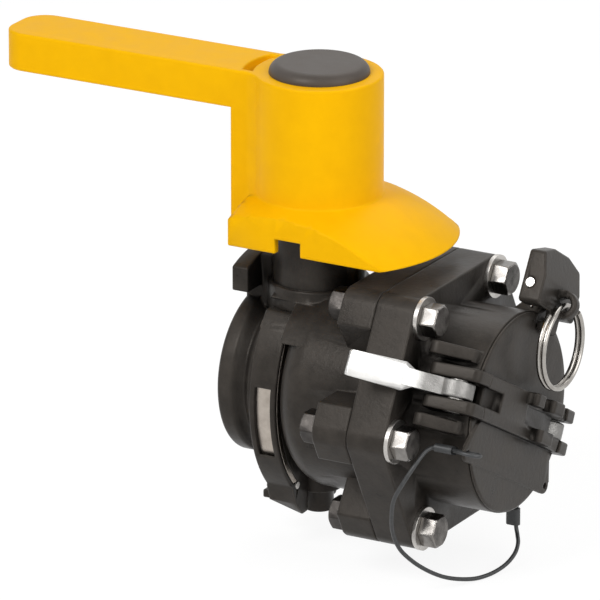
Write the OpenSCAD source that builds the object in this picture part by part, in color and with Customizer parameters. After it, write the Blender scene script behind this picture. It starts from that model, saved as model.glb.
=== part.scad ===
// Dry break coupling, two inch nominal: nose with lip and cam yoke, quarter turn ball valve,
// cam arm socket closed by a dust plug, safety latch with pull ring, and a plug lanyard.
// Millimetres, +Z up, flow along X, origin at the centre of the nose face.

/* [Nose] */
// Outer radius of the nose lip
lip_r = 40; // [38:0.5:44]
// Width of the nose lip along the pipe
lip_w = 9; // [6:0.5:11]
// Radius of the neck behind the lip
neck_r = 34; // [33:0.5:36]
// Radius of the open nose bore
nose_bore_r = 22; // [20:0.5:24]
// Depth of the open nose bore
nose_bore_l = 3.5; // [2:0.5:4]
// Outer radius of the key flange over the nose
key_r = 61; // [56:0.5:64]
// Width of the key flange across the pipe
key_w = 49; // [36:1:56]
// Height of the key flange's lower edge above the pipe axis
key_low = 44; // [42:0.5:46]
// Thickness of the key flange along the pipe
key_t = 8.5; // [6:0.5:10]

/* [Ball valve] */
// Distance from the nose face to the stem axis
stem_x = 33; // [33:0.5:38]
// Radius of the flow port
port_r = 19; // [16:0.5:19.5]
// Radius of the ball
ball_r = 29; // [28.5:0.5:30]
// Radius of the stem
stem_r = 8; // [7:0.5:9]
// Width across flats of the square on the stem
stem_square = 11; // [8:0.5:11]
// Length of each seat ring along the pipe
seat_l = 7; // [6:0.5:8]

/* [Valve body] */
// Distance from the nose face to the flange joint
joint_x = 87; // [84:0.5:96]
// Outer radius of the barrel round the ball
barrel_r = 50; // [48:0.5:52]
// Radius of the shoulder between neck and barrel
shoulder_r = 15; // [10:0.5:16]
// Radius of the stem boss
boss_r = 22; // [20:0.5:24]
// Height of the stem boss above the pipe axis
boss_h = 75; // [70:0.5:80]
// Radius of the trunnion boss under the barrel
trunnion_boss_r = 7; // [6.5:0.5:8]
// Depth of the trunnion boss below the pipe axis
trunnion_drop = 66; // [60:0.5:70]
// Length of the bolt lugs along the pipe
lug_l = 18; // [14:0.5:22]
// Width of each bolt lug
lug_w = 28; // [24:0.5:32]

/* [Flange bolts] */
// Radius of the bolt circle
bolt_circle_r = 62; // [60:0.5:66]
// Angle of the upper and lower bolts from the horizontal
bolt_angle = 56; // [50:1:60]
// Radius of the bolt shank, three eighths of an inch
bolt_r = 4.7; // [4:0.1:5]
// Width across flats of the hexagon heads and nuts
hex_af = 14.3; // [13:0.1:15]
// Height of the bolt heads
head_h = 8; // [6:0.5:9]
// Height of the nuts
nut_h = 8; // [6:0.5:9]
// Radius of the washers
washer_r = 10.3; // [9.5:0.1:11]
// Thickness of the washers
washer_t = 2; // [1.5:0.1:2.5]

/* [Cam yoke] */
// Thickness of the yoke along the pipe
yoke_t = 14; // [12:0.5:16]
// Radius of the two arcs that outline the yoke
yoke_arc_r = 64; // [63:0.5:66]
// Distance of each arc centre from the middle plane
yoke_arc_y = 21.5; // [20:0.5:22]
// Depth of the arc centres below the pipe axis
yoke_arc_z = 4.8; // [3:0.1:6]
// Height of the two flat yoke ends
yoke_top = 38.5; // [34:0.5:40]
// Depth of the flat under the yoke
yoke_bottom = 65; // [64:0.5:68]
// Thickness of the wear bands
band_t = 2.4; // [1.5:0.1:2.6]
// Width of the wear bands along the pipe
band_w = 11; // [8:0.5:11.5]
// Radius of the band rivets
rivet_r = 1.8; // [1.4:0.1:2]

/* [End housing] */
// Thickness of the flange
flange_t = 20; // [16:0.5:22]
// Edge of the flange beyond each bolt axis
flange_edge = 10; // [9:0.5:12]
// Outer radius of the socket
socket_r = 47.5; // [46.5:0.5:49]
// Radius of the socket bore
socket_bore_r = 43.5; // [42:0.5:44]
// Length of the socket from the flange to its mouth
socket_l = 30; // [28:0.5:34]
// Outer radius of the spigot that enters the body
spigot_r = 36; // [34:0.5:38]

/* [Cam arms] */
// Distance of the arm pins from the pipe axis
pin_l = 50; // [49:0.5:52]
// Setback of the arm pins from the socket mouth
pin_back = 7; // [6:0.5:8]
// Radius of the arm pins
pin_r = 4; // [3:0.5:4.5]
// Thickness of the arm at its cam
arm_t = 8; // [6:0.5:9]
// Length of the arm from pin to tip
arm_l = 53; // [44:1:60]
// Width of the arm paddle
paddle_w = 13.5; // [11:0.5:14]
// Thickness of the arm paddle
paddle_t = 4.4; // [3:0.2:5]
// Radius of the cam disc
cam_r = 8.5; // [8:0.5:9]
// Offset of the cam disc from its pin
cam_off = 4; // [3:0.5:4]
// Thickness of each ear plate
ear_t = 6; // [4:0.5:7]
// Thickness of each guard rib beside the ears
rib_t = 6; // [4:0.5:7]

/* [Dust plug] */
// Length of the plug face in front of the socket mouth
plug_proud = 1.5; // [1:0.5:3]
// Height of the grip band on the plug face
band_h = 3.5; // [2:0.5:4]
// Thickness of the socket gasket
gasket_t = 4; // [3:0.5:5]

/* [Latch] */
// Roll of the latch round the pipe
latch_roll = 31; // [28:1:34]
// Distance of the latch pin from the pipe axis
latch_pin_h = 58; // [57:0.5:60]
// Radius of the latch pin
latch_pin_r = 2.3; // [2:0.1:2.6]
// Thickness of the latch lever along the pipe
lever_t = 11; // [10:0.5:12]
// Half width of the lever
lever_w = 20.5; // [18:0.5:24]
// Outer diameter of the pull ring
ring_od = 41.5; // [36:0.5:46]
// Wire diameter of the pull ring
ring_wire = 2.5; // [2:0.1:2.6]

/* [Handle] */
// Radius of the handle hub
hub_r = 30; // [28:0.5:32]
// Height of the handle top above the pipe axis
handle_top = 149; // [140:1:155]
// Distance from the stem axis to the end of the arm
handle_l = 163; // [120:1:200]
// Width of the handle arm
handle_w = 34; // [28:0.5:38]
// Thickness of the handle arm
handle_t = 18.5; // [14:0.5:22]
// Radius of the skirt rim
skirt_r = 66; // [62:0.5:70]
// Height of the skirt rim above the pipe axis
skirt_z = 71; // [66:0.5:72]
// Height of the skirt's dome where it meets the hub
dome_top = 91; // [88:0.5:98]
// Half width of the skirt between its flat sides
skirt_half = 38.6; // [36:0.2:42]
// Wall thickness of the skirt
skirt_wall = 4; // [3:0.5:5]
// Radius of the plug on the handle
cap_r = 23.6; // [20:0.2:26]

/* [Lanyard] */
// Diameter of the coated cable
cable_d = 2; // [1.4:0.1:2]

/* [Hidden] */
$fn = 64;
black = "#232325";
steel = "#c9c9c6";
yellow = "#fdb913";
rubber = "#151515";
// running clearance of pins and shafts, and the gap kept between other moving faces
fit = 0.05;
gap = 0.3;
bolt_angles = [0, bolt_angle, 180 - bolt_angle, 180, 180 + bolt_angle, 360 - bolt_angle];
bolt_points = [for (a = bolt_angles) bolt_circle_r * [cos(a), sin(a)]];
// stations along the pipe
yoke_x = stem_x - yoke_t;
flange_x = joint_x + flange_t;
mouth_x = flange_x + socket_l;
face_x = mouth_x + plug_proud;
lug_x = joint_x - lug_l;
shoulder_x = stem_x + 1;
seat_mouth_r = port_r + 3;
seat_x = stem_x - sqrt(ball_r * ball_r - seat_mouth_r * seat_mouth_r);
seat_r = port_r + 7;
cavity_r = ball_r + 1;
spigot_x = stem_x + ball_r - 2;
gasket_x = flange_x + 1;
// stem stack
collar_z = ball_r + 2;
collar_h = 4;
collar_r = stem_r + 3;
stop_h = 4;
stop_in = boss_r - 7;
hub_z = boss_h + stop_h + 0.5;
stem_top = handle_top - 21;
screw_r = 3;
cap_recess_r = cap_r - 3.4;
cap_floor = stem_top + 9;
tang_w = 8;
tang_z = ball_r - 6;
trunnion_r = trunnion_boss_r - 2;
// the arms pass midway between two bolts and clear the flange; in their rolled frame the near side is -Y
arm_roll = bolt_angle / 2;
flange_flat = bolt_circle_r * cos(arm_roll) + flange_edge;
pin_x = mouth_x - pin_back;
ear_in = arm_t / 2 + 0.7;
ear_out = ear_in + ear_t;
rib_in = ear_out + 3.3;
rib_out = rib_in + rib_t;
cam_dir = 180 + 35;
groove_r = pin_l + cam_off * sin(cam_dir) - cam_r - 3;
groove_x0 = pin_x - cam_off - cam_r + 1.5;
groove_x1 = pin_x + pin_back - 2.5;
plug_r = socket_bore_r - gap;
arm_slot = arm_t / 2 + 0.4;
arm_angle = atan((flange_flat + 1 + 0.65 * paddle_t - pin_l) / (pin_x - flange_x));
// latch, in its own rolled frame
latch_x = mouth_x + 0.5;
lever_x1 = latch_x + 7;
lever_x0 = lever_x1 - lever_t;
lever_foot = socket_r + 1.1;
lever_top = latch_pin_h + 19.4;
lever_slot = 11.5;
lug_half = 5;
lug_r = 4.2;
eye_h = latch_pin_h - 4.6;
eye_x = lever_x1 + 3.5;
eye_r = ring_wire + 4.2;
eye_hole = ring_wire + 1.2;
ring_r = (ring_od - ring_wire) / 2;
ring_tilt = 12;
ring_step = ring_wire - 0.1;
// handle plan, measured from the stem axis
web_back = 38;
web_fillet = 20;
skirt_back = 27;
arm_round = 12;
slot_w = 5;

// convex outline through points in counter-clockwise order, with every corner rounded to r
function outward(a, b) = let (d = b - a) [d[1], -d[0]] / norm(d);
module rounded(pts, r) {
  n = len(pts);
  polygon([for (i = [0:n - 1], k = [0, 1]) pts[i] + r * outward(pts[(i + n - 1 + k) % n], pts[(i + k) % n])]);
  for (p = pts) translate(p) circle(r = r);
}
module revolve_x() rotate([0, 90, 0]) rotate_extrude() children();
module extrude_x(x0, x1) translate([x0, 0, 0]) rotate([90, 0, 90]) linear_extrude(x1 - x0) children();
module rod_x(x0, x1, r) translate([x0, 0, 0]) rotate([0, 90, 0]) cylinder(r = r, h = x1 - x0);
module rod_y(y0, y1, r) translate([0, y0, 0]) rotate([-90, 0, 0]) cylinder(r = r, h = y1 - y0);
module at_bolts() for (p = bolt_points) translate([0, p[0], p[1]]) children();
module at_stem() translate([stem_x, 0, 0]) children();
module arm_frame() rotate([-arm_roll, 0, 0]) children();
module latch_frame() rotate([-latch_roll, 0, 0]) children();
module both_sides() {
  children();
  mirror([0, 1, 0]) children();
}
module hexagon(af) circle(r = af / sqrt(3), $fn = 6);
module flange_outline() rounded(bolt_points, flange_edge);
// quarter ring standing on z, from angle a0 to a1
module stop_sector(z, h, a0, a1) translate([0, 0, z]) linear_extrude(h) intersection() {
  difference() {
    circle(r = boss_r - 0.5);
    circle(r = stop_in);
  }
  polygon(concat([[0, 0]], [for (i = [0:4]) let (a = a0 + (a1 - a0) * i / 4) 2 * boss_r * [cos(a), sin(a)]]));
}

// room for a socket wrench round each nut
wrench_room = 1.5;
module body_turned() difference() {
  revolve_x() {
    polygon([[0, 0], [lip_r - 1.5, 0], [lip_r, 1.5], [lip_r, lip_w - 1], [lip_r - 1, lip_w], [neck_r + 2, lip_w + 3],
      [neck_r + 2, lip_w + 4.5], [lip_r - 1.5, yoke_x - 3], [lip_r - 1.5, yoke_x - 0.6], [neck_r, yoke_x - 0.6], [neck_r, stem_x], [neck_r + 2, stem_x], [neck_r + 2, stem_x + 6], [0, stem_x + 6]]);
    translate([barrel_r - shoulder_r, shoulder_x + shoulder_r]) circle(r = shoulder_r);
    translate([0, shoulder_x + shoulder_r]) square([barrel_r, joint_x - shoulder_x - shoulder_r]);
    translate([0, shoulder_x]) square([barrel_r - shoulder_r, shoulder_r + 1]);
  }
  at_bolts() rod_x(lug_x - nut_h - bolt_tip - wrench_room, lug_x + 1, hex_af / sqrt(3) + wrench_room);
}

module body_outer() {
  body_turned();
  at_stem() {
    cylinder(r = boss_r, h = boss_h);
    cylinder(r = boss_r + 2, h = barrel_r - 1);
    translate([0, 0, -trunnion_drop]) cylinder(r = trunnion_boss_r, h = trunnion_drop - ball_r);
    translate([0, 0, 1 - barrel_r - 6]) cylinder(r = trunnion_boss_r + 4, h = 15);
    stop_sector(boss_h, stop_h, -70, 110);
  }
  // bolt lugs cut from the flange outline
  intersection() {
    extrude_x(lug_x, joint_x) flange_outline();
    union() {
      for (a = bolt_angles) rotate([a, 0, 0]) translate([lug_x - 1, barrel_r - 12, -lug_w / 2]) cube([lug_l + 2, 60, lug_w]);
      translate([lug_x - 1, -bolt_points[1][0], barrel_r - 12]) cube([lug_l + 2, 2 * bolt_points[1][0], barrel_r]);
    }
  }
  // key flange over the nose and the bracket that ties it to the stem boss
  intersection() {
    rod_x(0, key_t, key_r);
    translate([-1, -key_w / 2, key_low]) cube([key_t + 2, key_w, key_r]);
  }
  translate([0, -boss_r / 2, neck_r - 1]) cube([key_t, boss_r, key_low - neck_r + 2]);
  // saddle over the yoke, from the stem boss to the barrel
  intersection() {
    rod_x(yoke_x + 1.5, stem_x + 24, barrel_r - 0.3);
    union() {
      translate([yoke_x, -barrel_r, yoke_top + 5]) cube([stem_x + 20, 2 * barrel_r, barrel_r]);
      translate([shoulder_x + 0.2, -barrel_r, yoke_top - 10]) cube([stem_x + 20, 2 * barrel_r, barrel_r]);
    }
  }
  translate([key_t - 1, -boss_r / 2, neck_r - 6]) cube([stem_x - key_t, boss_r, key_r - neck_r + 5]);
}

module valve_body() color(black) difference() {
  body_outer();
  rod_x(-1, nose_bore_l, nose_bore_r);
  rod_x(0, seat_x, port_r + 1);
  rod_x(seat_x - seat_l, seat_x + 0.5, seat_r);
  at_stem() {
    sphere(r = cavity_r);
    rod_x(0, spigot_x - stem_x, cavity_r);
    cylinder(r = collar_r + gap, h = collar_z + collar_h + gap);
    cylinder(r = stem_r + fit, h = boss_h + 1);
    translate([0, 0, -trunnion_drop + 4]) cylinder(r = trunnion_r, h = trunnion_drop);
  }
  rod_x(spigot_x, joint_x + 1, spigot_r + fit);
  at_bolts() rod_x(lug_x - 1, joint_x + 1, bolt_r + gap);
}

module yoke_arcs(inset) intersection() {
  translate([yoke_arc_y, -yoke_arc_z]) circle(r = yoke_arc_r - inset, $fn = 128);
  translate([-yoke_arc_y, -yoke_arc_z]) circle(r = yoke_arc_r - inset, $fn = 128);
}
band_in = 2.2;
band_z = [-46, 29];
window_z = [-29.5, 5];
function band_y(z) = yoke_arc_y - sqrt(pow(yoke_arc_r - band_in - band_t / 2, 2) - pow(z + yoke_arc_z, 2));
rivet_points = [for (z = [band_z[0] - rivet_r - gap, band_z[1] + rivet_r + gap], s = [-1, 1]) [-s * band_y(z), z]];
module band_strip(z0, z1, t) intersection() {
  difference() {
    yoke_arcs(band_in);
    yoke_arcs(band_in + t);
  }
  translate([-yoke_arc_r, z0]) square([2 * yoke_arc_r, z1 - z0]);
}
// foot under the yoke: half widths at heights above its flat, its slope, and the tab in front of it
yoke_foot = [[27, 21], [22.5, 8], [15, 0]];
yoke_slope = 8.5;
yoke_tab = [12, 16, 4];
module cam_yoke() color(black) difference() {
  intersection() {
    union() {
      extrude_x(yoke_x, stem_x) yoke_arcs(0);
      extrude_x(yoke_x, stem_x) polygon([for (s = [-1, 1], i = [0, 1, 2]) let (p = yoke_foot[s < 0 ? i : 2 - i])
        [s * p[0], p[1] - yoke_bottom]]);
      translate([yoke_x - yoke_tab[0], -yoke_tab[1] / 2, yoke_tab[2] / 2 - yoke_bottom]) cube(yoke_tab + [1, 0, 0]);
    }
    translate([0, -2 * lip_r, -2 * lip_r]) cube([stem_x, 4 * lip_r, 2 * lip_r + yoke_top]);
  }
  both_sides() translate([0, -yoke_tab[1] / 2, 0]) rotate([90, 0, 0]) linear_extrude(barrel_r) polygon([[yoke_x - 1, -2 * yoke_bottom],
    [stem_x + 1, -2 * yoke_bottom], [stem_x + 1, -yoke_bottom], [yoke_x - 1, yoke_slope - yoke_bottom]]);
  rod_x(yoke_x - 1, stem_x + 1, neck_r + fit);
  at_stem() cylinder(r = boss_r + 2 + fit, h = key_r);
  at_stem() translate([0, 0, -yoke_bottom - 1]) cylinder(r = trunnion_boss_r + 4 + fit, h = yoke_bottom);
  translate([yoke_x - 1, -boss_r / 2 - gap, 0]) cube([yoke_t + 2, boss_r + 2 * gap, key_r]);
  extrude_x(stem_x - band_w, stem_x + 1) band_strip(band_z[0], band_z[1], band_t);
  extrude_x(stem_x - band_w, stem_x - 3) difference() {
    intersection() {
      yoke_arcs(-2);
      translate([-yoke_arc_r, window_z[0]]) square([2 * yoke_arc_r, window_z[1] - window_z[0]]);
    }
    yoke_arcs(band_in + 0.1);
  }
  for (p = rivet_points) translate([0, p[0], p[1]]) rod_x(yoke_x - 1, stem_x + 1, rivet_r);
}
module wear_bands() color(steel) extrude_x(stem_x - band_w, stem_x) band_strip(band_z[0], band_z[1], band_t);
module band_rivets() color(steel) for (p = rivet_points) translate([0, p[0], p[1]]) {
  rod_x(yoke_x - 0.6, stem_x + 0.3, rivet_r);
}

module ball() color(steel) at_stem() difference() {
  sphere(r = ball_r);
  rod_y(-ball_r - 1, ball_r + 1, port_r);
  translate([-tang_w / 2, -ball_r, tang_z]) cube([tang_w, 2 * ball_r, ball_r]);
  translate([0, 0, -ball_r - 1]) cylinder(r = trunnion_r + fit, h = ball_r - port_r);
}
module seat_ring() difference() {
  rod_x(seat_x - seat_l, seat_x, seat_r);
  rod_x(seat_x - seat_l - 1, seat_x + 1, port_r + 0.3);
  at_stem() sphere(r = ball_r + fit);
}
module ball_seats() color("#e9e6dc") {
  seat_ring();
  translate([2 * stem_x, 0, 0]) mirror([1, 0, 0]) seat_ring();
}
o_ring = 1.4;
o_ring_z = [boss_h - 26, boss_h - 16];
module stem() color(steel) at_stem() difference() {
  union() {
    translate([0, 0, collar_z]) cylinder(r = stem_r, h = boss_h + stop_h - collar_z);
    translate([0, 0, collar_z]) cylinder(r = collar_r, h = collar_h);
    translate([-tang_w / 2, -stem_r, tang_z]) cube([tang_w, 2 * stem_r, collar_z - tang_z + 1]);
    translate([-stem_square / 2, -stem_square / 2, boss_h]) cube([stem_square, stem_square, stem_top - boss_h]);
  }
  translate([0, 0, stem_top - 20]) cylinder(r = screw_r, h = 21);
  for (z = o_ring_z) translate([0, 0, z - o_ring]) difference() {
    cylinder(r = stem_r + 1, h = 2 * o_ring);
    translate([0, 0, -1]) cylinder(r = stem_r - 2 * o_ring, h = 2 * o_ring + 2);
  }
}
module stem_o_rings() color(rubber) at_stem() for (z = o_ring_z) translate([0, 0, z]) {
  rotate_extrude() translate([stem_r - o_ring, 0]) circle(r = o_ring);
}
module trunnion_pin() color(steel) at_stem() translate([0, 0, -trunnion_drop + 4]) {
  cylinder(r = trunnion_r, h = trunnion_drop - 4 - port_r - 2);
}

// socket side of the valve
seat2_x = 2 * stem_x - seat_x;
arm_slot_x = pin_x - cam_off - cam_r - 1;
o_ring_x = joint_x - 14;
lanyard_ear = [43, -27];
lanyard_lug = [25.3, -47.6];
lanyard_lug_x = [121, 125];
module ear_plan() rounded([[pin_x - 10, -pin_l - 3], [pin_x + 8, -pin_l - 1], [pin_x + 9, -pin_l + 10],
  [pin_x - 10, -pin_l + 10]], 4);
module rib_plan() rounded([[pin_x - 11, -pin_l - 6], [pin_x + 1, -pin_l + 3], [pin_x + 1, -pin_l + 14],
  [pin_x - 11, -pin_l + 14]], 4);
module end_housing() color(black) difference() {
  union() {
    rod_x(seat2_x, spigot_x + 1, cavity_r - gap);
    rod_x(spigot_x, joint_x + 1, spigot_r);
    extrude_x(joint_x, flange_x) flange_outline();
    rod_x(flange_x - 1, mouth_x, socket_r);
    arm_frame() both_sides() for (s = [-1, 1]) {
      translate([0, 0, s * (ear_in + ear_t / 2)]) linear_extrude(ear_t, center = true) ear_plan();
      translate([0, 0, s * (rib_in + rib_t / 2)]) linear_extrude(rib_t, center = true) rib_plan();
    }
    latch_frame() rotate([90, 0, 0]) linear_extrude(2 * lug_half, center = true) {
      translate([latch_x, latch_pin_h]) circle(r = lug_r);
      polygon([[latch_x - lug_r, latch_pin_h], [latch_x - lug_r, socket_r + 9], [mouth_x - 14, socket_r - 2],
        [mouth_x, socket_r - 2], [latch_x + lug_r, socket_r + 5], [latch_x + lug_r, latch_pin_h]]);
    }
    extrude_x(lanyard_lug_x[0], lanyard_lug_x[1]) rounded([0.8 * lanyard_lug - [5, 0], lanyard_lug,
      0.8 * lanyard_lug + [5, 0]], 3.5);
  }
  rod_x(seat2_x - 1, seat2_x + seat_l, seat_r);
  rod_x(seat2_x, gasket_x + 1, port_r);
  translate([joint_x, 0, 0]) rotate([0, 90, 0]) cylinder(r1 = port_r, r2 = groove_r - 5, h = gasket_x - joint_x);
  rod_x(gasket_x, mouth_x + 20, socket_bore_r);
  translate([o_ring_x, 0, 0]) rotate([0, 90, 0]) difference() {
    cylinder(r = spigot_r + 1, h = 2.6, center = true);
    cylinder(r = spigot_r - 2.6, h = 4, center = true);
  }
  arm_frame() both_sides() {
    translate([arm_slot_x, -2 * pin_l, -arm_slot]) cube([2 * socket_l, 2 * pin_l - groove_r + 4, 2 * arm_slot]);
    translate([pin_x, -pin_l, -ear_out - 1]) cylinder(r = pin_r, h = 2 * ear_out + 2);
  }
  latch_frame() translate([latch_x, 0, latch_pin_h]) rod_y(-lug_half - 1, lug_half + 1, latch_pin_r + fit);
  at_bolts() rod_x(joint_x - 1, flange_x + 1, bolt_r + gap);
  translate([0, lanyard_lug[0], lanyard_lug[1]]) rod_x(lanyard_lug_x[0] - 1, lanyard_lug_x[1] + 1, cable_d / 2 + 0.6);
}
module housing_o_ring() color(rubber) translate([o_ring_x, 0, 0]) rotate([0, 90, 0]) rotate_extrude() {
  translate([spigot_r - 1.3, 0]) circle(r = 1.3);
}

// hexagon whose corners are turned off at its end x1
module turned_hex(x0, x1) intersection() {
  extrude_x(min(x0, x1), max(x0, x1)) hexagon(hex_af);
  revolve_x() {
    polygon([[0, x0], [0.62 * hex_af, x0], [0.62 * hex_af, x1 + sign(x0 - x1) * 0.087 * hex_af], [0.47 * hex_af, x1], [0, x1]]);
  }
}
bolt_tip = 1.8;
module flange_bolts() color(steel) at_bolts() {
  revolve_x() polygon([[0, lug_x - nut_h - bolt_tip], [bolt_r - 1.2, lug_x - nut_h - bolt_tip],
    [bolt_r, lug_x - nut_h - bolt_tip / 3], [bolt_r, flange_x + washer_t + 1], [0, flange_x + washer_t + 1]]);
  turned_hex(flange_x + washer_t, flange_x + washer_t + head_h);
}
module bolt_washers() color(steel) at_bolts() difference() {
  rod_x(flange_x, flange_x + washer_t, washer_r);
  rod_x(flange_x - 1, flange_x + washer_t + 1, bolt_r + fit);
}
module flange_nuts() color(steel) at_bolts() difference() {
  turned_hex(lug_x, lug_x - nut_h);
  rod_x(lug_x - nut_h - 1, lug_x + 1, bolt_r + fit);
}

// cam arm about its pin: x along the pipe, y outward, z along the pin
module cam_arm() difference() {
  union() {
    linear_extrude(arm_t, center = true) {
      circle(r = cam_r - 0.4);
      translate(cam_off * [cos(cam_dir), sin(cam_dir)]) circle(r = cam_r);
      rotate(180 - arm_angle) translate([0, -paddle_t / 2 - 0.4]) square([0.5 * arm_l, paddle_t + 0.8]);
    }
    rotate(180 - arm_angle) {
      rotate([90, 0, 0]) linear_extrude(paddle_t, center = true) rounded([[0.34 * arm_l, 3 - arm_t / 2],
        [0.5 * arm_l, 1 - paddle_w / 2], [arm_l - 1, 1.8 - paddle_w / 2], [arm_l - 1, paddle_w / 2 - 1.8],
        [0.5 * arm_l, paddle_w / 2 - 1], [0.34 * arm_l, arm_t / 2 - 3]], 1);
    }
  }
  cylinder(r = pin_r + fit, h = 2 * arm_t, center = true);
}
module cam_arm_near() color(steel) arm_frame() translate([pin_x, -pin_l, 0]) mirror([0, 1, 0]) cam_arm();
module cam_arm_far() color(steel) arm_frame() translate([pin_x, pin_l, 0]) cam_arm();
module arm_pins() color(steel) arm_frame() both_sides() translate([pin_x, -pin_l, -ear_out]) {
  cylinder(r = pin_r, h = 2 * ear_out);
}

plug_x = gasket_x + gasket_t;
plug_floor = groove_x1 - 2;
plug_in = groove_r - 5;
disc_r = socket_r - 0.5;
// grip posts: side of the arm slot, middle and length along the band
posts = [[1, 4, 10], [1, 24, 13], [-1, 18, 15]];
post_h = 9;
post_round = 2.5;
label_bar = [-15, 37];
module dust_plug() color(black) difference() {
  union() {
    revolve_x() polygon([[0, plug_floor], [0, face_x], [disc_r - 0.8, face_x], [disc_r, face_x - 0.6],
      [disc_r, mouth_x + gap], [plug_r, mouth_x + gap], [plug_r, groove_x1], [groove_r, groove_x1 - 1], [groove_r, groove_x0 + 1], [plug_r, groove_x0],
      [plug_r, plug_x], [plug_in, plug_x], [plug_in, plug_floor]]);
    arm_frame() {
      intersection() {
        rod_x(face_x - 0.5, face_x + band_h, plug_r - 0.5);
        translate([face_x - 1, -plug_r, -ear_out]) cube([band_h + 2, 2 * plug_r, 2 * ear_out]);
      }
      for (p = posts) translate([0, 0, p[0] * (ear_in + ear_t / 2)]) linear_extrude(ear_t, center = true) {
        rounded([for (q = [[0, -1], [1, -1], [1, 1], [0, 1]]) [face_x + 1 + q[0] * (post_h - post_round - 1),
          p[1] + q[1] * (p[2] / 2 - post_round)]], post_round);
      }
      extrude_x(face_x - 0.9, face_x + 1) rounded([[-lanyard_ear[0], lanyard_ear[1]], lanyard_ear,
        [label_bar[1], label_bar[0]], [-label_bar[1], label_bar[0]]], 4);
    }
  }
  // channel between the far posts, and room for the ears and the latch lug
  arm_frame() translate([face_x + 0.8, 2, 0.5 - ear_in]) cube([band_h, 2 * plug_r, 2 * ear_in - 1]);
  arm_frame() both_sides() difference() {
    translate([mouth_x, -2 * plug_r, -ear_out - gap]) cube([face_x - mouth_x + 1, 1.5 * plug_r, 2 * ear_out + 2 * gap]);
    rod_x(mouth_x - 1, face_x + 2, plug_r - 0.5);
  }
  latch_frame() translate([mouth_x, -lug_half - gap, plug_r + gap]) cube([face_x - mouth_x + 1, 2 * lug_half + 2 * gap, barrel_r]);
  arm_frame() both_sides() {
    translate([face_x - 1, -2 * plug_r, -arm_slot]) cube([band_h + 2, 2 * plug_r - 26, 2 * arm_slot]);
    translate([groove_x1 - 2, -2 * plug_r, -arm_slot]) cube([20, 2 * plug_r - groove_r - 2, 2 * arm_slot]);
    translate([0, -lanyard_ear[0], lanyard_ear[1]]) rod_x(face_x - 2, face_x + 6, cable_d / 2 + 0.6);
  }
}
module plug_gasket() color(rubber) difference() {
  rod_x(gasket_x, plug_x, plug_r);
  rod_x(gasket_x - 1, plug_x + 1, plug_in);
}

lever_shoulder = lever_top - 3.5;
module latch_lever() color(black) latch_frame() difference() {
  union() {
    extrude_x(lever_x0, lever_x1) rounded([[2 - lever_w, lever_foot + 2], [lever_w - 2, lever_foot + 2],
      [lever_w - 2, lever_shoulder - 2], [0.37 * lever_w, lever_top - 2], [-0.37 * lever_w, lever_top - 2],
      [2 - lever_w, lever_shoulder - 2]], 2);
    translate([lever_x1 - 2.5, -6, plug_r - 4]) cube([2.5, 12, lever_foot - plug_r + 8]);
    translate([face_x + 0.6, -6, plug_r - 4]) cube([lever_x1 - face_x - 0.6, 12, 4]);
    translate([eye_x, 0, eye_h]) rod_y(-2.5, 2.5, eye_r);
    translate([lever_x1 - 1, -2.5, eye_h - eye_r]) cube([eye_x - lever_x1 + 1, 5, 2 * eye_r]);
  }
  translate([lever_x0 - 1, -lever_slot, lever_foot - 2]) {
    cube([lever_t - 1.5, 2 * lever_slot, latch_pin_h + lug_r + 2.5 - lever_foot + 2]);
  }
  // the front leans back above the pin
  rotate([90, 0, 0]) linear_extrude(4 * lever_w, center = true) polygon([[lever_x1, latch_pin_h + lug_r],
    [lever_x1 + 1, latch_pin_h + lug_r], [lever_x1 + 1, lever_top + 1], [lever_x1 - 0.4 * lever_t, lever_top + 1]]);
  translate([latch_x, 0, latch_pin_h]) rod_y(-2 * lever_w, 2 * lever_w, latch_pin_r);
  translate([eye_x, 0, eye_h]) rod_y(-9, 9, eye_hole);
}
module latch_pin() color(steel) latch_frame() translate([latch_x, 0, latch_pin_h]) {
  rod_y(0.2 - lever_w, lever_w - 0.2, latch_pin_r);
}
// the two turns of the pull ring touch and hang from the lever's eye
module pull_ring() color(steel) latch_frame() translate([eye_x, 0, eye_h]) rotate([latch_roll - ring_tilt, 0, 0]) {
  for (s = [-1, 1]) translate([s * ring_step / 2, 0, -ring_r]) rotate([0, 90, 0]) rotate_extrude() {
    translate([ring_r, 0]) circle(r = ring_wire / 2);
  }
}

// the dome is part of a sphere on the stem axis, through its rim and the foot of the hub
dome_z = (skirt_r * skirt_r + skirt_z * skirt_z - hub_r * hub_r - dome_top * dome_top) / (2 * (skirt_z - dome_top));
dome_r = norm([skirt_r, skirt_z - dome_z]);
hub_fillet = 6;
fillet_r = hub_r + hub_fillet - 0.5;
fillet_z = dome_z + sqrt(dome_r * dome_r - fillet_r * fillet_r) + hub_fillet - 0.8;
web_c = handle_w / 2 + web_fillet - 0.3;
web_x = sqrt(pow(hub_r + web_fillet - 0.3, 2) - web_c * web_c);
module skirt_box(wall) translate([wall - skirt_back, wall - skirt_half, skirt_z - wall]) {
  cube([skirt_back + skirt_r, 2 * (skirt_half - wall), handle_top]);
}
module dome(wall) intersection() {
  translate([0, 0, dome_z]) sphere(r = dome_r - wall);
  skirt_box(wall);
}
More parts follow.
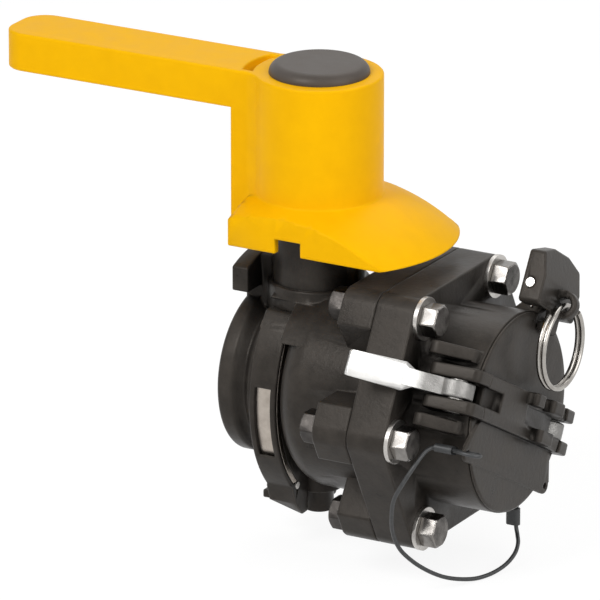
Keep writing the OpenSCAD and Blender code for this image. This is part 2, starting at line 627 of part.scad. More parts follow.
// hub with the web under the arm, joined by hollow curves
module hub_plan() {
  circle(r = hub_r);
  translate([-web_back, -handle_w / 2]) square([web_back, handle_w]);
  both_sides() difference() {
    polygon([[-web_x, 0], [-web_x, -web_c], hub_r / (hub_r + web_fillet) * [-web_x, -web_c], [0, 0]]);
    translate([-web_x, -web_c]) circle(r = web_fillet);
  }
}
module handle_outer() {
  dome(0);
  intersection() {
    rotate_extrude() difference() {
      translate([hub_r - 1, dome_top - hub_fillet]) square([hub_fillet + 1.5, fillet_z + 0.6 - dome_top + hub_fillet]);
      translate([fillet_r, fillet_z]) circle(r = hub_fillet);
    }
    skirt_box(0);
  }
  translate([0, 0, skirt_z]) linear_extrude(handle_top - skirt_z) hub_plan();
  translate([0, 0, handle_top - handle_t]) linear_extrude(handle_t) rounded([[arm_round - handle_l, arm_round - handle_w / 2],
    [0, arm_round - handle_w / 2], [0, handle_w / 2 - arm_round], [arm_round - handle_l, handle_w / 2 - arm_round]], arm_round);
}
module handle() color(yellow) at_stem() {
  difference() {
    handle_outer();
    difference() {
      dome(skirt_wall);
      translate([0, 0, hub_z]) cylinder(r = boss_r + 1, h = handle_top);
    }
    translate([-stem_square / 2 - fit, -stem_square / 2 - fit, 0]) {
      cube([stem_square + 2 * fit, stem_square + 2 * fit, stem_top + gap]);
    }
    cylinder(r = stem_r + gap, h = boss_h + stop_h + gap);
    cylinder(r = screw_r + gap, h = handle_top);
    translate([0, 0, cap_floor]) cylinder(r = cap_recess_r, h = handle_top);
    translate([-2, -skirt_half - 1, skirt_z - 1]) cube([13, skirt_wall + 2, 8]);
    translate([0, 0, handle_top - 5]) intersection() {
      difference() {
        cylinder(r = hub_r + 1 + slot_w, h = 6);
        translate([0, 0, -1]) cylinder(r = hub_r + 1, h = 8);
      }
      translate([-2 * hub_r, -handle_w / 2 + 4, 0]) cube([2 * hub_r, handle_w - 8, 6]);
    }
  }
  stop_sector(boss_h + 0.5, stop_h + 1, 110.5, 199.5);
}
screw_l = 16;
screw_collar = 1.5;
screw_head = 5.5;
module handle_screw() color(steel) at_stem() {
  translate([0, 0, stem_top - screw_l]) cylinder(r = screw_r, h = cap_floor - stem_top + screw_l + screw_collar / 2);
  translate([0, 0, cap_floor]) cylinder(r = 3 * screw_r, h = screw_collar);
  translate([0, 0, cap_floor + screw_collar]) linear_extrude(screw_head) hexagon(3.3 * screw_r);
}
cap_h = 5;
cap_wall = 3;
module handle_plug() color("#2b2b2d") at_stem() rotate_extrude() {
  intersection() {
    translate([cap_r - cap_h, handle_top]) circle(r = cap_h);
    translate([0, handle_top]) square([cap_r + 1, cap_h + 1]);
  }
  translate([0, handle_top]) square([cap_r - cap_h, cap_h]);
  translate([cap_recess_r - cap_wall - fit, handle_top - cap_wall]) square([cap_wall, cap_wall + 1]);
}

// tube of radius r swept along points p
function unit(v) = v / norm(v);
function tangent(p, i) = unit(p[min(i + 1, len(p) - 1)] - p[max(i - 1, 0)]);
function ups(p, i, u) = i == len(p) ? [] :
  let (t = tangent(p, i), v = unit(u - (u * t) * t)) concat([v], ups(p, i + 1, v));
function curve(p, n) = concat([for (i = [0:len(p) - 2], k = [0:n - 1])
  let (a = p[max(i - 1, 0)], b = p[i], c = p[i + 1], d = p[min(i + 2, len(p) - 1)], t = k / n)
  0.5 * (2 * b + (c - a) * t + (2 * a - 5 * b + 4 * c - d) * t * t + (3 * b - a - 3 * c + d) * t * t * t)], [p[len(p) - 1]]);
module sweep(p, r, sides) {
  n = len(p);
  us = ups(p, 0, unit([0.3, 0.5, 0.8]));
  polyhedron(
    [for (i = [0:n - 1], k = [0:sides - 1]) let (t = tangent(p, i), a = 360 * k / sides)
      p[i] + r * (cos(a) * us[i] + sin(a) * cross(t, us[i]))],
    concat([[for (k = [0:sides - 1]) k]], [[for (k = [0:sides - 1]) n * sides - 1 - k]],
      [for (i = [0:n - 2], k = [0:sides - 1]) let (j = (k + 1) % sides)
        [i * sides + k, (i + 1) * sides + k, (i + 1) * sides + j, i * sides + j]]));
}
spring_wire = 1;
spring_turns = 4;
module latch_spring() color(steel) latch_frame() translate([latch_x, -lug_half - 0.8, latch_pin_h]) {
  sweep(concat([[-3.5, 0, -9], [-3.5, 0, -4]], [for (i = [0:spring_turns * 12]) let (a = 180 + 30 * i)
    [3.5 * cos(a), -i * 1.25 / 12, 3.5 * sin(a)]]), spring_wire / 2, 8);
}

// cable route: loop at the plug's near ear, hanging bight, loop at the housing lug
near_a = [-53.6, -2.5];
near_b = [-50.6, -3.7];
near_x = [124, 133];
far_y = 25.3;
far_x = [121.5, 124.5];
far_z = [-66, -58];
route = [[127, -50.6, -3.7], [132, -50.6, -3.7], [137, -50.6, -3.7], [141, -50.6, -3.7], [145, -50.8, -3.6],
  [146.6, -52.6, -3.2], [145, -55.5, -2.4], [141, -56.6, -1.8], [137.2, -55.6, -1.9], [133.6, -53.7, -2.45],
  [129, -53.6, -2.5], [123.6, -53.6, -2.5], [120.6, -57, -4.2], [118, -63, -10], [114, -66.4, -18],
  [109, -65.6, -27], [106, -62.4, -37], [104.4, -58, -47], [105.2, -53, -56], [108.6, -47, -63.4], [112.8, -40, -69.6],
  [117, -32, -74.6], [121, -23, -78], [125, -14, -79.8], [128.6, -5, -79.4], [130.8, 4, -77.6], [131, 12, -75],
  [129, 19, -72.6], [126, 24, -70.4], [124.6, 25.3, -67], [124.5, 25.3, -62], [124.5, 25.3, -57.5], [127, 25.3, -53],
  [127.2, 25.3, -49.5], [125.5, 25.3, -47.6], [123, 25.3, -47.6], [120.5, 25.3, -47.6], [118.9, 25.3, -49.5],
  [119, 25.3, -53], [121.5, 25.3, -57.5], [121.5, 25.3, -62], [121.5, 25.3, -65]];
module lanyard() color("#3a3d3f") sweep(curve(route, 2), cable_d / 2, 8);
module lanyard_ferrules() color("#3a3d3f") difference() {
  union() {
    extrude_x(near_x[0], near_x[1]) rounded([near_a, near_b], cable_d);
    translate([0, 0, far_z[0]]) linear_extrude(far_z[1] - far_z[0]) rounded([for (x = far_x) [x, far_y]], cable_d);
  }
  for (p = [near_a, near_b]) translate([0, p[0], p[1]]) rod_x(near_x[0] - 1, near_x[1] + 1, cable_d / 2 + gap);
  for (x = far_x) translate([x, far_y, far_z[0] - 1]) cylinder(r = cable_d / 2 + gap, h = 20);
}

valve_body();
cam_yoke();
wear_bands();
band_rivets();
ball();
ball_seats();
stem();
stem_o_rings();
trunnion_pin();
end_housing();
housing_o_ring();
flange_bolts();
bolt_washers();
flange_nuts();
cam_arm_near();
cam_arm_far();
arm_pins();
dust_plug();
plug_gasket();
latch_lever();
latch_pin();
latch_spring();
pull_ring();
handle();
handle_screw();
handle_plug();
lanyard();
lanyard_ferrules();
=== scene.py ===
# %% [markdown]
# # A dry break coupling, dressed for the camera
# The coupling joins two hoses without spilling. A black moulded body holds a ball
# valve under a yellow lever. The left end is the nose that enters the other half,
# and the right end is a socket with two steel cam arms, closed by a plug.
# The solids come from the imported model, so this lesson only adds light, finishes
# and the shapes that a solid can't show well.

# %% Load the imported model
import math

import bmesh
import bpy
from mathutils import Matrix, Vector
from mathutils.bvhtree import BVHTree
from mathutils.kdtree import KDTree


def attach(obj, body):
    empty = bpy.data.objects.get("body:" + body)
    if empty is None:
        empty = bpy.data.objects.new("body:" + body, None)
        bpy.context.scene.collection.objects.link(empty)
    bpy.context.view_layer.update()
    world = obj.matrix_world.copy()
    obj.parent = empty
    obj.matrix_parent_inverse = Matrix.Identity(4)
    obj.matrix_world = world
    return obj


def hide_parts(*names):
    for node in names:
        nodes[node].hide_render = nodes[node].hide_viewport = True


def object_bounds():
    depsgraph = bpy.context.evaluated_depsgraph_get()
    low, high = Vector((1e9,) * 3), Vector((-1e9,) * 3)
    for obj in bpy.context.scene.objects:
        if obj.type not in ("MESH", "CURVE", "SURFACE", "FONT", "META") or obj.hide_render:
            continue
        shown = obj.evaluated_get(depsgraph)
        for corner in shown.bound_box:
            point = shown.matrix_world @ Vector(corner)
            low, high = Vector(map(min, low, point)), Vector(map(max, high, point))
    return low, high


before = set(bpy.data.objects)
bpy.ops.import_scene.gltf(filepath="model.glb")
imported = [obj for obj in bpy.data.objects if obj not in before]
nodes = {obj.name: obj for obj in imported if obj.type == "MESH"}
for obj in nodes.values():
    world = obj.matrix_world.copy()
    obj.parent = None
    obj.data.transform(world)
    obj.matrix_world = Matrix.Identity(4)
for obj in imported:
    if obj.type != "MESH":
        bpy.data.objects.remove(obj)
cad_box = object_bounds()
scene = bpy.context.scene
print("CAD box in metres:", [tuple(round(c, 4) for c in p) for p in cad_box])

# %% [markdown]
# ## The camera
# The photograph was taken from far away with a long lens, so lines that are
# parallel on the coupling stay almost parallel in the picture. A camera four
# metres away with a 513 mm lens gives that look. It is placed by its azimuth and
# elevation, because those two angles are what a photographer would note down.

# %% Camera at the photograph's angle
TARGET = Vector((0.0227, 0.0, 0.0356))
CAMERA_AZIMUTH, CAMERA_ELEVATION, CAMERA_DISTANCE = 29.3, 19.1, 4.0
LENS_MM, SENSOR_MM, FARTHEST = 513.2, 36.0, 50.0


def place_facing_target(obj, azimuth, elevation, distance):
    """Puts an object at two angles round the target, where it looks at the target."""
    a, e = math.radians(azimuth), math.radians(elevation)
    out = Vector((math.sin(a) * math.cos(e), -math.cos(a) * math.cos(e), math.sin(e)))
    obj.location = TARGET + distance * out
    obj.rotation_euler = (-out).to_track_quat("-Z", "Y").to_euler()
    scene.collection.objects.link(obj)


camera = bpy.data.objects.new("camera", bpy.data.cameras.new("camera"))
place_facing_target(camera, CAMERA_AZIMUTH, CAMERA_ELEVATION, CAMERA_DISTANCE)
camera.data.lens, camera.data.sensor_width = LENS_MM, SENSOR_MM
camera.data.clip_end = FARTHEST
scene.camera = camera
scene.view_settings.view_transform = "Standard"
print("camera at", tuple(round(c, 3) for c in camera.location))

# %% [markdown]
# ## The lanyard
# The plug hangs on a thin steel cable with a grey coating, crimped into a loop at
# each end. Both loops and the bight between them are one run of cable, so it is
# one curve through the same points as the solid, with a round bevel for its coat.
# It is made early, because a cord that spreads too far would change the solids.

# %% Lanyard as one curve
CABLE_D = 0.002
LANYARD_MM = [
    (127, -50.6, -3.7), (132, -50.6, -3.7), (137, -50.6, -3.7), (141, -50.6, -3.7),
    (145, -50.8, -3.6), (146.6, -52.6, -3.2), (145, -55.5, -2.4), (141, -56.6, -1.8),
    (137.2, -55.6, -1.9), (133.6, -53.7, -2.45), (129, -53.6, -2.5), (123.6, -53.6, -2.5),
    (120.6, -57, -4.2), (118, -63, -10), (114, -66.4, -18), (109, -65.6, -27),
    (106, -62.4, -37), (104.4, -58, -47), (105.2, -53, -56), (108.6, -47, -63.4),
    (112.8, -40, -69.6), (117, -32, -74.6), (121, -23, -78), (125, -14, -79.8),
    (128.6, -5, -79.4), (130.8, 4, -77.6), (131, 12, -75), (129, 19, -72.6),
    (126, 24, -70.4), (124.6, 25.3, -67), (124.5, 25.3, -62), (124.5, 25.3, -57.5),
    (127, 25.3, -53), (127.2, 25.3, -49.5), (125.5, 25.3, -47.6), (123, 25.3, -47.6),
    (120.5, 25.3, -47.6), (118.9, 25.3, -49.5), (119, 25.3, -53), (121.5, 25.3, -57.5),
    (121.5, 25.3, -62), (121.5, 25.3, -65),
]


def smooth_route(points, steps):
    """Points on the curve through the given ones, which passes each of them."""
    out = []
    for i in range(len(points) - 1):
        a, b = points[max(i - 1, 0)], points[i]
        c, d = points[i + 1], points[min(i + 2, len(points) - 1)]
        for k in range(steps):
            t = k / steps
            out.append(0.5 * (2 * b + (c - a) * t + (2 * a - 5 * b + 4 * c - d) * t * t
                              + (3 * b - a - 3 * c + d) * t ** 3))
    return out + [points[-1]]


def route_curve(name, points, radius, steps=6):
    """An open round cable through the points, as a curve object at the origin."""
    data = bpy.data.curves.new(name, "CURVE")
    data.dimensions, data.bevel_depth = "3D", 1.0
    data.bevel_resolution, data.use_fill_caps = 4, True
    spline = data.splines.new("POLY")
    route = smooth_route(points, steps)
    spline.points.add(len(route) - 1)
    for spot, p in zip(spline.points, route):
        spot.co, spot.radius = (*p, 1.0), radius
    spline.use_smooth = True
    obj = bpy.data.objects.new(name, data)
    scene.collection.objects.link(obj)
    length = sum((q - p).length for p, q in zip(route, route[1:]))
    print(name, "length", round(length, 4), "m")
    return obj, length


lanyard_route = [Vector(p) / 1000 for p in LANYARD_MM]
lanyard, lanyard_length = route_curve("lanyard_cable", lanyard_route, CABLE_D / 2)
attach(lanyard, "housing")
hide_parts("lanyard")

# %% [markdown]
# ## Floor and light
# The photograph is a catalogue picture on white. The floor and the world show
# white to the camera and to reflections, and only a plain level of light falls on
# the coupling. The key lamp stands in front and above, a wide lamp lights the
# right side, a weak one fills the low faces, and one behind lights the far edges.

# %% White floor that keeps the shadow
def node_tree(owner):
    """The owner's node tree, emptied."""
    owner.use_nodes = True
    tree = owner.node_tree
    tree.nodes.clear()
    return tree


def add(tree, kind, **values):
    """A new node whose sockets or settings take the given values."""
    made = tree.nodes.new(kind)
    for key, value in values.items():
        if key in made.inputs:
            made.inputs[key].default_value = value
        else:
            setattr(made, key, value)
    return made


def seen_directly(tree):
    """1 for camera, glossy and transmission rays, 0 for the rays that carry light."""
    path = add(tree, "ShaderNodeLightPath")
    total = path.outputs["Is Camera Ray"]
    for other in ("Is Glossy Ray", "Is Transmission Ray"):
        join = add(tree, "ShaderNodeMath", operation="MAXIMUM")
        tree.links.new(total, join.inputs[0])
        tree.links.new(path.outputs[other], join.inputs[1])
        total = join.outputs[0]
    return total


FLOOR_GAP, FLOOR_HALF = 0.0005, 6.0
FLOOR_Z = cad_box[0].z - FLOOR_GAP
floor_mesh = bmesh.new()
bmesh.ops.create_grid(floor_mesh, x_segments=1, y_segments=1, size=FLOOR_HALF,
                      matrix=Matrix.Translation((0, 0, FLOOR_Z)))
floor_data = bpy.data.meshes.new("floor")
floor_mesh.to_mesh(floor_data)
floor_mesh.free()
floor = bpy.data.objects.new("floor", floor_data)
scene.collection.objects.link(floor)
print("floor at", round(FLOOR_Z, 4))

# %% Floor and world shown white
def white_to_the_lens(tree, light_shader, socket, share, strength):
    """Mixes a share of white into a shader for the rays that show a background."""
    white = add(tree, "ShaderNodeEmission", Color=(1, 1, 1, 1), Strength=strength)
    part = add(tree, "ShaderNodeMath", operation="MULTIPLY")
    part.inputs[1].default_value = share
    mix = add(tree, "ShaderNodeMixShader")
    tree.links.new(seen_directly(tree), part.inputs[0])
    tree.links.new(part.outputs[0], mix.inputs[0])
    tree.links.new(light_shader.outputs[0], mix.inputs[1])
    tree.links.new(white.outputs[0], mix.inputs[2])
    tree.links.new(mix.outputs[0], socket)


floor_finish = bpy.data.materials.new("floor_paper")
tree = node_tree(floor_finish)
paper = add(tree, "ShaderNodeBsdfDiffuse", Color=(0.82, 0.82, 0.82, 1))
output = add(tree, "ShaderNodeOutputMaterial")
# a fifth of what the lens sees stays paper, so that the shadow shows
white_to_the_lens(tree, paper, output.inputs["Surface"], share=0.8, strength=1.11)
floor.data.materials.append(floor_finish)

world = bpy.data.worlds.new("studio")
scene.world = world
tree = node_tree(world)
room = add(tree, "ShaderNodeBackground", Color=(1, 1, 1, 1), Strength=0.26)
output = add(tree, "ShaderNodeOutputWorld")
white_to_the_lens(tree, room, output.inputs["Surface"], share=1.0, strength=1.0)
print("world and floor are white to the lens")

# %% Soft lamps
def soft_lamp(name, azimuth, elevation, distance, size, watts):
    """A square area lamp that faces the middle of the coupling."""
    data = bpy.data.lights.new(name, "AREA")
    data.shape, data.size, data.energy = "SQUARE", size, watts
    place_facing_target(bpy.data.objects.new(name, data), azimuth, elevation, distance)


soft_lamp("key_lamp", azimuth=-14, elevation=42, distance=1.6, size=0.7, watts=15.2)
soft_lamp("side_lamp", azimuth=80, elevation=30, distance=1.7, size=1.3, watts=15.0)
soft_lamp("low_lamp", azimuth=40, elevation=8, distance=1.9, size=0.9, watts=0.8)
soft_lamp("back_lamp", azimuth=190, elevation=55, distance=1.8, size=1.0, watts=7.0)

# %% [markdown]
# ## Finishes
# Each finish is a small node tree on Object coordinates, so the pattern keeps its
# real size in metres on every piece. Most of them share the same three parts: a
# slow noise that varies colour and roughness, a fine noise that gives the grain,
# and a Bevel node that rounds the shading where two faces meet, as a mould does.
# The black plastic also has painted shade in its own recesses, and the plastics
# are painted lighter along their edges as a highlight.

# %% Patterns and colours of a finish
def noise(tree, scale, detail=3.0, rough=0.55, stretch=(1, 1, 1)):
    """Noise on Object coordinates; scale is in repeats per metre."""
    coords = add(tree, "ShaderNodeTexCoord")
    mapping = add(tree, "ShaderNodeMapping", Scale=stretch)
    made = add(tree, "ShaderNodeTexNoise", Scale=scale, Detail=detail, Roughness=rough)
    tree.links.new(coords.outputs["Object"], mapping.inputs["Vector"])
    tree.links.new(mapping.outputs["Vector"], made.inputs["Vector"])
    return made.outputs["Fac"]


def between(tree, fac, low, high, start=0.3, end=0.7):
    """fac from start to end, spread over low to high."""
    made = add(tree, "ShaderNodeMapRange")
    for key, value in (("From Min", start), ("From Max", end), ("To Min", low), ("To Max", high)):
        made.inputs[key].default_value = value
    tree.links.new(fac, made.inputs["Value"])
    return made.outputs["Result"]


def blend(tree, fac, first, second):
    """A colour between two colours, which are tuples or sockets."""
    made = add(tree, "ShaderNodeMix", data_type="RGBA")
    tree.links.new(fac, made.inputs[0])
    for value, socket in ((first, made.inputs[6]), (second, made.inputs[7])):
        if isinstance(value, tuple):
            socket.default_value = (*value, 1.0)
        else:
            tree.links.new(value, socket)
    return made.outputs[2]


print("pattern helpers:", [f.__name__ for f in (noise, between, blend)])

# %% Edges, recesses and bumps of a finish
SHADER_RAYS = 6
HIGHLIGHT_EDGE_TURN = 0.86, 0.99
PAINTED_SHADE_RANGE = 0.35, 0.92


def soft_normal(tree, radius):
    """The normal with edges rounded to a radius."""
    return add(tree, "ShaderNodeBevel", samples=SHADER_RAYS, Radius=radius).outputs[0]


def painted_highlight_mask(tree, normal):
    """1 along the edges, where the rounded normal turns away from the face, as a mask for a
    painted highlight.
    """
    true_side = add(tree, "ShaderNodeNewGeometry")
    turn = add(tree, "ShaderNodeVectorMath", operation="DOT_PRODUCT")
    tree.links.new(normal, turn.inputs[0])
    tree.links.new(true_side.outputs["Normal"], turn.inputs[1])
    return between(tree, turn.outputs["Value"], 1.0, 0.0, *HIGHLIGHT_EDGE_TURN)


def painted_shade_mask(tree, reach):
    """1 on open faces and 0 deep in the piece's own recesses, felt as far as reach, as a mask for
    painted shade.
    """
    felt = add(tree, "ShaderNodeAmbientOcclusion", samples=SHADER_RAYS, only_local=True,
               Distance=reach)
    return between(tree, felt.outputs["AO"], 0.0, 1.0, *PAINTED_SHADE_RANGE)


def bumps(tree, normal, *layers):
    """Stacks bump layers of (height, strength, distance) on a normal."""
    for height, strength, distance in layers:
        made = add(tree, "ShaderNodeBump", Strength=strength, Distance=distance)
        tree.links.new(height, made.inputs["Height"])
        if normal is not None:
            tree.links.new(normal, made.inputs["Normal"])
        normal = made.outputs[0]
    return normal


print("surface helpers:", [f.__name__ for f in (soft_normal, painted_highlight_mask, painted_shade_mask, bumps)])

# %% The shader of a finish
def finish(name, **fixed):
    """A new material with a principled shader, whose fixed sockets are set here."""
    made = bpy.data.materials.new(name)
    tree = node_tree(made)
    shader = add(tree, "ShaderNodeBsdfPrincipled", **fixed)
    output = add(tree, "ShaderNodeOutputMaterial")
    tree.links.new(shader.outputs[0], output.inputs["Surface"])
    return made, tree, shader


def wire(tree, shader, colour=None, rough=None, normal=None):
    """Links the varying parts of a finish to its shader."""
    for socket, value in (("Base Color", colour), ("Roughness", rough), ("Normal", normal)):
        if value is not None:
            tree.links.new(value, shader.inputs[socket])


print("shader helpers:", [f.__name__ for f in (finish, wire)])

# %% [markdown]
# ## Plastics
# The body, the yoke, the end housing, the dust plug and the latch are one black
# nylon, whose skin is never quite even, so its highlights break up. The lever is a
# flat yellow plastic, and the plug in its hub a dull dark one. One function makes
# them all from a dark and a light colour, a lighter edge colour that paints a
# highlight along the edges, and a range of roughness. The black nylon also gets
# painted shade in its recesses.

# %% Moulded plastics
RECESS_SHADE = 0.12
# repeats per metre, from the slow mottle to the grain of the skin
MOTTLE, UNEVEN, SKIN = 95.0, 430.0, 1900.0


def moulded(name, deep, light, edge, rough, edge_radius=0.0007, grain=0.12, gloss=0.3,
            sheen=(1.0, 0.92, 0.84), recess_shade_reach=None, peel=0.0):
    """Moulded plastic: slow mottle, uneven skin, fine grain, a painted highlight on the edges,
    and painted shade in recesses when a reach is given.
    """
    made, tree, shader = finish(name, **{"IOR": 1.5, "Specular IOR Level": gloss,
                                         "Specular Tint": (*sheen, 1.0)})
    mottle = noise(tree, MOTTLE, 4.0, 0.6)
    skin, uneven = noise(tree, SKIN, 2.0), noise(tree, UNEVEN, 4.0, 0.65)
    normal = soft_normal(tree, edge_radius)
    edges = painted_highlight_mask(tree, normal)
    body = blend(tree, between(tree, mottle, 0.0, 1.0), deep, light)
    # painted highlight: along the edges the colour goes to the lighter edge colour
    body = blend(tree, between(tree, edges, 0.0, 0.75, 0.0, 1.0), body, edge)
    # painted shade: deep in the piece's recesses the colour goes to a dark shade
    if recess_shade_reach:
        shade = tuple(RECESS_SHADE * c for c in deep)
        body = blend(tree, painted_shade_mask(tree, recess_shade_reach), shade, body)
    wire(tree, shader, body, between(tree, mottle, *rough),
         bumps(tree, normal, (mottle, 0.10, 0.0004), (uneven, peel, 0.0004),
               (skin, grain, 0.00006)))
    return made


# the third colour of each plastic is the painted highlight on its edges; the black nylon's recess
# reach paints shade into its recesses
black_nylon = moulded("black_nylon", (0.022, 0.0192, 0.0167), (0.042, 0.0366, 0.0318),
                      (0.13, 0.115, 0.10), (0.27, 0.42), edge_radius=0.0011, gloss=0.16,
                      recess_shade_reach=0.03, peel=0.30)
yellow_plastic = moulded("yellow_plastic", (0.84, 0.43, 0.001), (0.88, 0.46, 0.001),
                         (0.93, 0.54, 0.01), (0.42, 0.52), edge_radius=0.0012, grain=0.06,
                         gloss=0.10, sheen=(1.0, 0.8, 0.3))
cap_plastic = moulded("cap_plastic", (0.050, 0.042, 0.036), (0.066, 0.056, 0.049),
                      (0.10, 0.09, 0.08), (0.42, 0.52), edge_radius=0.0006, grain=0.16)
rubber = moulded("rubber", (0.008, 0.008, 0.008), (0.014, 0.014, 0.014),
                 (0.02, 0.02, 0.02), (0.5, 0.62))
seat_white = moulded("seat_white", (0.80, 0.79, 0.76), (0.86, 0.85, 0.83),
                     (0.9, 0.9, 0.88), (0.35, 0.45))
print("plastics:", [m.name for m in (black_nylon, yellow_plastic, cap_plastic, rubber,
                                     seat_white)])

# %% [markdown]
# ## Steels
# All the steel on the coupling is of one family, but each kind of part was made in
# another way. Turned and pressed parts have fine streaks, the cam arms are cast and
# polished at one end, and the bolts have bright sides and rough, stamped ends.

# %% Steels
CLOUD, STREAKS, STEEL_EDGE = 160.0, 900.0, 0.0004


def steel(name, dull, bright, rough, streak=(1, 1, 1), dents=0.05):
    """Stainless steel with fine streaks along one axis and slightly uneven gloss."""
    made, tree, shader = finish(name, Metallic=1.0)
    cloud = noise(tree, CLOUD, 4.0)
    lines = noise(tree, STREAKS, 3.0, 0.5, streak)
    wire(tree, shader, blend(tree, between(tree, cloud, 0.0, 1.0), dull, bright),
         between(tree, lines, *rough),
         bumps(tree, soft_normal(tree, STEEL_EDGE), (cloud, dents, 0.0003),
               (lines, 0.05, 0.00004)))
    return made


stainless = steel("stainless", (0.42, 0.40, 0.38), (0.56, 0.54, 0.51), (0.24, 0.40), (1, 4, 4))
band_steel = steel("band_steel", (0.34, 0.30, 0.26), (0.48, 0.43, 0.38), (0.26, 0.44), (6, 1, 1))
ring_steel = steel("ring_steel", (0.30, 0.28, 0.26), (0.42, 0.40, 0.37), (0.16, 0.28))
nut_steel = steel("nut_steel", (0.032, 0.029, 0.027), (0.080, 0.073, 0.068), (0.30, 0.46),
                  dents=0.2)
print("plain steels:", [m.name for m in (stainless, band_steel, ring_steel, nut_steel)])

# %% Steels in two states
CAST_CLOUD, PITS, CAST_EDGE = 220.0, 1500.0, 0.0005
POLISHED_TO, ROUGH_FROM = 0.114, 0.119


def two_state_steel(name, first, second, rough, mask_of, grain):
    """Steel that goes from one colour and gloss to another, with grain in the second."""
    made, tree, shader = finish(name, Metallic=1.0)
    mask = mask_of(tree)
    cloud = noise(tree, CAST_CLOUD, 4.0)
    pits = noise(tree, PITS, 3.0, 0.6)
    ends = [blend(tree, between(tree, cloud, 0.0, 1.0), *pair) for pair in (first, second)]
    height = add(tree, "ShaderNodeMath", operation="MULTIPLY")
    tree.links.new(mask, height.inputs[0])
    tree.links.new(pits, height.inputs[1])
    wire(tree, shader, blend(tree, mask, *ends), between(tree, mask, *rough, 0.0, 1.0),
         bumps(tree, soft_normal(tree, CAST_EDGE), (height.outputs[0], grain, 0.0004),
               (cloud, 0.04, 0.0003)))
    return made


def part_along_x(tree, output):
    """The X part of one output of the texture coordinates."""
    split = add(tree, "ShaderNodeSeparateXYZ")
    tree.links.new(add(tree, "ShaderNodeTexCoord").outputs[output], split.inputs[0])
    return split.outputs["X"]


def along_x(start, end):
    """A mask from 0 to 1 between two distances along the pipe."""
    return lambda tree: between(tree, part_along_x(tree, "Object"), 0.0, 1.0, start, end)


def facing_x(tree):
    """A mask that is 1 on the faces that look along the pipe."""
    return between(tree, part_along_x(tree, "Normal"), 0.0, 1.0, 0.9, 0.97)


arm_steel = two_state_steel("arm_steel", ((0.66, 0.65, 0.63), (0.76, 0.75, 0.73)),
                            ((0.18, 0.176, 0.168), (0.27, 0.262, 0.252)), (0.28, 0.42),
                            mask_of=along_x(POLISHED_TO, ROUGH_FROM), grain=0.5)
bolt_steel = two_state_steel("bolt_steel", ((0.17, 0.160, 0.150), (0.26, 0.246, 0.232)),
                             ((0.06, 0.055, 0.050), (0.20, 0.187, 0.175)), (0.24, 0.44),
                             mask_of=facing_x, grain=0.9)
print("two-state steels:", [m.name for m in (arm_steel, bolt_steel)])

# %% Cable coat
COAT = 700.0
COAT_GREYS = (0.022, 0.023, 0.024), (0.040, 0.041, 0.042)
cable, tree, shader = finish("cable", IOR=1.5)
coat = noise(tree, COAT, 3.0)
wire(tree, shader, blend(tree, between(tree, coat, 0.0, 1.0), *COAT_GREYS),
     between(tree, coat, 0.38, 0.5), bumps(tree, None, (coat, 0.2, 0.0001)))
lanyard.data.materials.append(cable)
print("cable coat on", lanyard.name)

# %% [markdown]
# ## Finishes on the solids
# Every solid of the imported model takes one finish. The table below goes from the
# finish to the solids, so a reader can see at a glance what is made of what.

# %% One finish for each solid
WORN_BY = {
    black_nylon: ("valve_body", "cam_yoke", "end_housing", "dust_plug", "latch_lever"),
    yellow_plastic: ("handle",),
    cap_plastic: ("handle_plug",),
    stainless: ("band_rivets", "ball", "stem", "trunnion_pin", "arm_pins", "latch_pin",
                "latch_spring", "handle_screw", "bolt_washers"),
    bolt_steel: ("flange_bolts",),
    nut_steel: ("flange_nuts",),
    arm_steel: ("cam_arm_near", "cam_arm_far"),
    band_steel: ("wear_bands",),
    ring_steel: ("pull_ring",),
    seat_white: ("ball_seats",),
    rubber: ("stem_o_rings", "housing_o_ring", "plug_gasket"),
    cable: ("lanyard", "lanyard_ferrules"),
}
for worn, names in WORN_BY.items():
    for name in names:
        nodes[name].data.materials.clear()
        nodes[name].data.materials.append(worn)
print("dressed", sum(len(n) for n in WORN_BY.values()), "of", len(nodes), "solids")

# %% [markdown]
# ## Softened edges
# A mould and a casting both leave small round edges, which decide how the outline
# of a lever looks against the light. The solids have sharp edges, so the pieces
# whose outline shows them are copied, their loose triangles are merged, and every
# outer edge that turns sharply gets a bevel. Where edges crowd together a bevel
# folds over itself, so the copy is compared with the solid, and the edges near the
# middle of a fold stay sharp in the next try. From the third try on, those near its
# corners do too, which clears the long thin folds that are left by then.

# %% Finding the folds of a bevel
TOUCHING, TURNED_PAST, TINY_AREA = 0.0003, -0.1, 1e-9


def folds(bm, solid, width, with_corners):
    """Spots on the faces that look the wrong way or left the solid."""
    found = []
    for face in bm.faces:
        middle = face.calc_center_median()
        _, outward, _, off = solid.find_nearest(middle)
        turned = off < TOUCHING and face.normal.dot(outward) < TURNED_PAST
        if face.calc_area() > TINY_AREA and (turned or off > width):
            found.append(middle)
            if with_corners:
                found += [v.co.copy() for v in face.verts]
    return found


def near_any(spots, reach):
    """A test of whether an edge has an end within reach of one of the spots."""
    near = KDTree(max(len(spots), 1))
    for number, spot in enumerate(spots):
        near.insert(spot, number)
    near.balance()
    return lambda edge: bool(spots) and any(near.find(v.co)[2] < reach for v in edge.verts)


print("a face within", TOUCHING, "m of the solid that looks inwards counts as folded")

# %% A piece from a mesh in the making
SMOOTH_BELOW = math.radians(40.0)


def piece_from(bm, name, material):
    """Ends the bmesh as an object whose faces are smooth up to a set angle."""
    data = bpy.data.meshes.new(name)
    bm.to_mesh(data)
    bm.free()
    data.polygons.foreach_set("use_smooth", [True] * len(data.polygons))
    data.set_sharp_from_angle(angle=SMOOTH_BELOW)
    data.materials.append(material)
    piece = bpy.data.objects.new(name, data)
    scene.collection.objects.link(piece)
    return piece


print("faces are smooth up to", round(math.degrees(SMOOTH_BELOW)), "degrees")

# %% A copy of a solid with round edges
SAME_POINT, SHARP_ABOVE = 2e-6, math.radians(38.0)
TRIES, CORNERS_FROM, WIDTHS_FROM_A_FOLD = 9, 3, 2.5


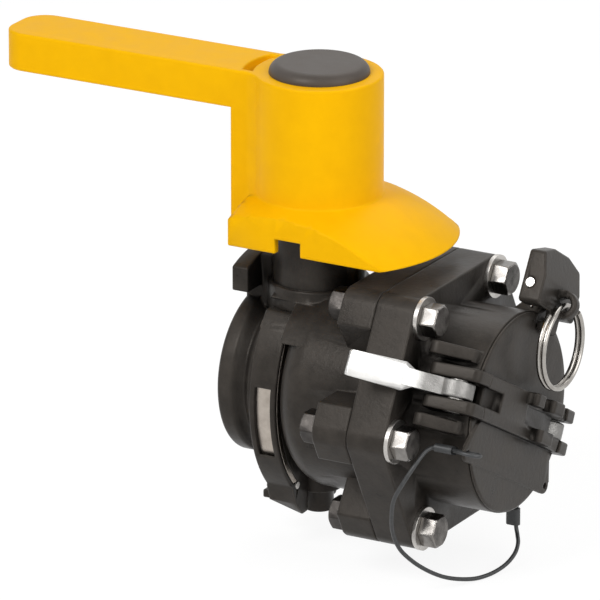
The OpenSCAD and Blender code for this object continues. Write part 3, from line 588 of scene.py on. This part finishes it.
def softened(name, body, width, segments=2):
    """A bevelled copy that rides where the solid does and stands for it."""
    source = nodes[name]
    merged = bmesh.new()
    merged.from_mesh(source.data)
    bmesh.ops.remove_doubles(merged, verts=merged.verts, dist=SAME_POINT)
    solid = BVHTree.FromBMesh(merged)
    crowded = []
    for attempt in range(1, TRIES + 1):
        bm = merged.copy()
        too_near = near_any(crowded, WIDTHS_FROM_A_FOLD * width)
        sharp = [e for e in bm.edges if e.is_manifold and e.is_convex
                 and e.calc_face_angle() > SHARP_ABOVE and not too_near(e)]
        bmesh.ops.bevel(bm, geom=sharp, offset=width, offset_type="OFFSET", segments=segments,
                        profile=0.5, affect="EDGES", clamp_overlap=False, loop_slide=False,
                        material=-1)
        wrong = folds(bm, solid, width, with_corners=attempt >= CORNERS_FROM)
        if not wrong or attempt == TRIES:
            break
        crowded += wrong
        bm.free()
    merged.free()
    rounded = len(sharp)
    piece = piece_from(bm, name + "_soft", source.data.materials[0])
    piece.modifiers.new("even_normals", "WEIGHTED_NORMAL").keep_sharp = True
    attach(piece, body)
    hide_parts(name)
    print(piece.name, "edges", rounded, "faces", len(piece.data.polygons), "tries", attempt,
          "folds left", len(wrong))


# %% The pieces that get round edges
softened("handle", "rotor", 0.0009, 3)
softened("latch_lever", "latch", 0.0010, 3)
softened("cam_arm_near", "arm_near", 0.0008)
softened("cam_arm_far", "arm_far", 0.0008)
for name in ("valve_body", "cam_yoke", "end_housing", "dust_plug"):
    softened(name, "housing", 0.0008)
for name in ("flange_bolts", "flange_nuts"):
    softened(name, "housing", 0.0004)

# %% [markdown]
# ## The pull ring
# The ring on the latch is a split ring: two turns of wire side by side, with a
# step across the top where the wire passes from one turn to the other, and a cut
# end on each side of that step. Three spins of one small circle make it: a turn,
# the step with a shift along the axis, and the second turn.

# %% Split ring of two turns
EYE_X, EYE_OUT, LATCH_ROLL = 0.148, 0.0534, math.radians(31)
RING_R, WIRE_D, TURN_STEP = 0.0195, 0.0025, 0.0024
RING_TILT, STEP_HALF = math.radians(12), math.radians(38)
WIRE_SIDES, TURN_STEPS, SHIFT_STEPS = 14, 72, 20


def leaning(angle):
    """Upwards, leaning to the far side by an angle."""
    return Vector((0, math.sin(angle), math.cos(angle)))


EYE = Vector((EYE_X, 0, 0)) + EYE_OUT * leaning(LATCH_ROLL)
RING_CENTRE = EYE - RING_R * leaning(RING_TILT)


def split_ring(name):
    """Two turns of wire round the X axis, joined by a step at the top."""
    bm = bmesh.new()
    start = Matrix.Rotation(STEP_HALF, 3, "X") @ leaning(RING_TILT)
    turn = Matrix(((1, 0, 0), tuple(start), (0, -start.z, start.y))).transposed().to_4x4()
    first = RING_CENTRE + RING_R * start - Vector((TURN_STEP / 2, 0, 0))
    loop = bmesh.ops.create_circle(bm, cap_ends=False, segments=WIRE_SIDES, radius=WIRE_D / 2,
                                   matrix=Matrix.Translation(first) @ turn)["verts"]
    bmesh.ops.contextual_create(bm, geom=loop)
    end = list(loop) + list({e for v in loop for e in v.link_edges})
    whole, step = 2 * math.pi - 2 * STEP_HALF, 2 * STEP_HALF
    for angle, steps, shift in ((whole, TURN_STEPS, 0.0), (step, SHIFT_STEPS, TURN_STEP),
                                (whole, TURN_STEPS, 0.0)):
        made = bmesh.ops.spin(bm, geom=end, cent=RING_CENTRE, axis=(1, 0, 0), angle=angle,
                              steps=steps, dvec=(shift / steps, 0, 0), use_merge=False)
        end = [g for g in made["geom_last"] if not isinstance(g, bmesh.types.BMFace)]
    rim = [g for g in end if isinstance(g, bmesh.types.BMEdge)]
    bmesh.ops.contextual_create(bm, geom=rim)
    bmesh.ops.recalc_face_normals(bm, faces=bm.faces)
    return piece_from(bm, name, ring_steel)


ring = split_ring("split_ring")
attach(ring, "ring")
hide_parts("pull_ring")
print("split ring faces", len(ring.data.polygons))
